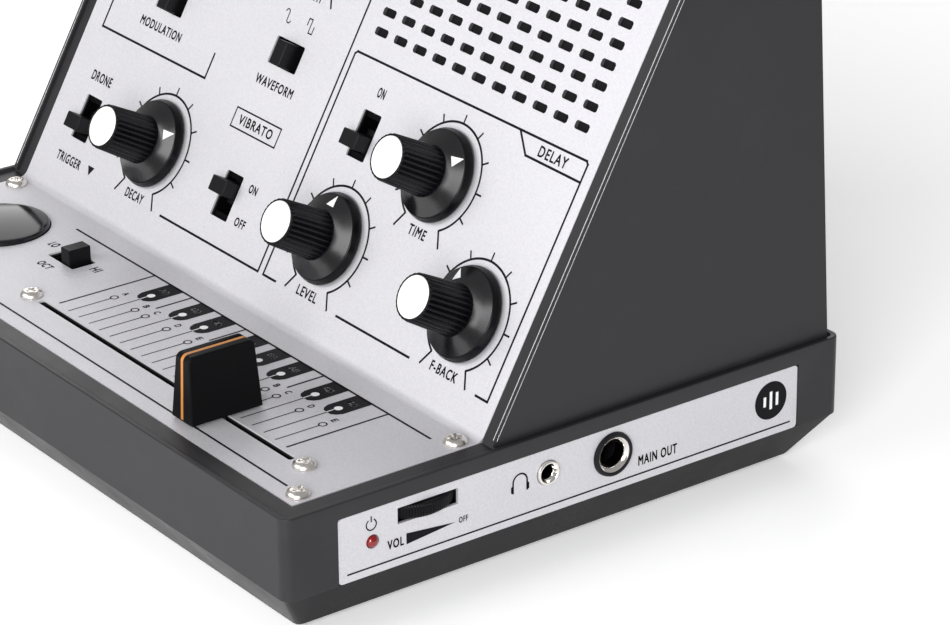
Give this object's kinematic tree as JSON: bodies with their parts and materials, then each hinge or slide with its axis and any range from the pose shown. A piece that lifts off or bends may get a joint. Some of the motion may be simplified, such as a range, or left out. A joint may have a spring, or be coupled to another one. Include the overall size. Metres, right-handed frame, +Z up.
{
  "type": "desktop synthesizer",
  "caption": "Desktop synthesizer with a bent steel faceplate: pitch fader and trigger button on the deck, knobs, slide switches and loudspeaker on a sloping tower.",
  "frame": {"origin": "on the plane the feet rest on, midway between the side walls and midway between the front and back walls", "axes": "+X to the player's right, +Y away from the player, +Z up"},
  "size_m": [0.2174, 0.161, 0.1545],
  "materials": {
    "case_plastic": "fine moulded texture",
    "base_plastic": "fine moulded texture",
    "faceplate_paint": "satin silver paint with a fine grain",
    "screw_steel": "bright plated steel",
    "dark_steel": "black zinc",
    "knob_black": "semi-gloss",
    "cap_white": "smooth",
    "switch_black": "matte",
    "fader_black": "fine texture",
    "line_orange": "matte",
    "button_black": "gloss",
    "rubber": "matte",
    "pot_metal": "plain",
    "shaft_metal": "knurled",
    "board_green": "solder mask",
    "speaker_frame": "black paint",
    "speaker_paper": "black paper",
    "magnet": "sintered",
    "cloth": "woven",
    "led_red": "tinted clear",
    "jack_chrome": "bright",
    "jack_black": "matte",
    "cell_wrap": "printed sleeve",
    "contact_steel": "nickel plated"
  },
  "bodies": {
    "case": {"base_tray": "case_plastic", "tower_shell": "case_plastic", "lower_base": "base_plastic", "faceplate": "faceplate_paint", "side_plate": "faceplate_paint", "feet": "rubber", "speaker_basket": "speaker_frame", "speaker_cone": "speaker_paper", "speaker_magnet": "magnet", "grille_cloth": "cloth", "panel_board": "board_green", "deck_board": "board_green", "fader_body": "pot_metal", "trigger_switch": "switch_black", "switch_bodies": "switch_black", "pots": "pot_metal", "pot_nuts": "screw_steel", "volume_pot": "jack_black", "led_lens": "led_red", "headphone_jack": "jack_black", "headphone_nose": "jack_chrome", "main_jack": "jack_black", "main_ring": "jack_black", "main_sleeve": "jack_chrome", "batteries": "cell_wrap", "battery_contacts": "contact_steel", "plate_screws": "screw_steel", "fader_screws": "screw_steel", "base_screws": "dark_steel"},
    "decay_control": {"decay_knob": "knob_black", "decay_cap": "cap_white", "decay_shaft": "shaft_metal"},
    "level_control": {"level_knob": "knob_black", "level_cap": "cap_white", "level_shaft": "shaft_metal"},
    "time_control": {"time_knob": "knob_black", "time_cap": "cap_white", "time_shaft": "shaft_metal"},
    "feedback_control": {"feedback_knob": "knob_black", "feedback_cap": "cap_white", "feedback_shaft": "shaft_metal"},
    "rate_control": {"rate_knob": "knob_black", "rate_cap": "cap_white", "rate_shaft": "shaft_metal"},
    "depth_control": {"depth_knob": "knob_black", "depth_cap": "cap_white", "depth_shaft": "shaft_metal"},
    "drone_switch": {"drone_slider": "switch_black"},
    "vibrato_switch": {"vibrato_slider": "switch_black"},
    "delay_switch": {"delay_slider": "switch_black"},
    "waveform_switch": {"waveform_slider": "switch_black"},
    "modulation_switch": {"modulation_slider": "switch_black"},
    "octave_switch": {"octave_slider": "switch_black"},
    "fader": {"fader_lever": "shaft_metal", "fader_cap": "fader_black", "fader_line": "line_orange"},
    "trigger": {"trigger_button": "button_black", "trigger_plunger": "switch_black"},
    "wheel": {"volume_wheel": "switch_black"},
    "door": {"battery_door": "base_plastic"}
  },
  "joints": [
    {"name": "decay_turn", "type": "hinge", "parent": "case", "child": "decay_control", "pos_m": [-0.0534, -0.00992, 0.05358], "axis": [0, -0.8712, 0.4909], "range_deg": [-88, 212]},
    {"name": "level_turn", "type": "hinge", "parent": "case", "child": "level_control", "pos_m": [0.0247, -0.00992, 0.05358], "axis": [0, -0.8712, 0.4909], "range_deg": [-150, 150]},
    {"name": "time_turn", "type": "hinge", "parent": "case", "child": "time_control", "pos_m": [0.053, 0.0027, 0.07597], "axis": [0, -0.8712, 0.4909], "range_deg": [-96.5, 203.5]},
    {"name": "feedback_turn", "type": "hinge", "parent": "case", "child": "feedback_control", "pos_m": [0.0804, -0.00992, 0.05358], "axis": [0, -0.8712, 0.4909], "range_deg": [-180, 120]},
    {"name": "rate_turn", "type": "hinge", "parent": "case", "child": "rate_control", "pos_m": [-0.0699, 0.02238, 0.11091], "axis": [0, -0.8712, 0.4909], "range_deg": [-150, 150]},
    {"name": "depth_turn", "type": "hinge", "parent": "case", "child": "depth_control", "pos_m": [-0.0178, 0.02238, 0.11091], "axis": [0, -0.8712, 0.4909], "range_deg": [-150, 150]},
    {"name": "drone_slide", "type": "slide", "parent": "case", "child": "drone_switch", "axis": [0, 0.4909, 0.8712], "range_m": [0, 0.0036]},
    {"name": "vibrato_slide", "type": "slide", "parent": "case", "child": "vibrato_switch", "axis": [0, 0.4909, 0.8712], "range_m": [-0.0036, 0]},
    {"name": "delay_slide", "type": "slide", "parent": "case", "child": "delay_switch", "axis": [0, 0.4909, 0.8712], "range_m": [0, 0.0036]},
    {"name": "waveform_slide", "type": "slide", "parent": "case", "child": "waveform_switch", "axis": [1, 0, 0], "range_m": [-0.0036, 0]},
    {"name": "modulation_slide", "type": "slide", "parent": "case", "child": "modulation_switch", "axis": [1, 0, 0], "range_m": [-0.0036, 0]},
    {"name": "octave_slide", "type": "slide", "parent": "case", "child": "octave_switch", "axis": [1, 0, 0], "range_m": [-0.004, 0]},
    {"name": "fader_slide", "type": "slide", "parent": "case", "child": "fader", "axis": [1, 0, 0], "range_m": [-0.0741, 0.0259]},
    {"name": "trigger_press", "type": "slide", "parent": "case", "child": "trigger", "axis": [0, 0, -1], "range_m": [0, 0.0015], "stiffness_N_per_m": 400, "springref_m": -0.001},
    {"name": "volume_turn", "type": "hinge", "parent": "case", "child": "wheel", "pos_m": [0.0974, -0.0417, 0.0253], "axis": [0, 0, 1], "range_deg": [-90, 180]},
    {"name": "door_swing", "type": "hinge", "parent": "case", "child": "door", "pos_m": [-0.02, 0.0571, 0.0024], "axis": [1, 0, 0], "range_deg": [0, 90]}
  ]
}
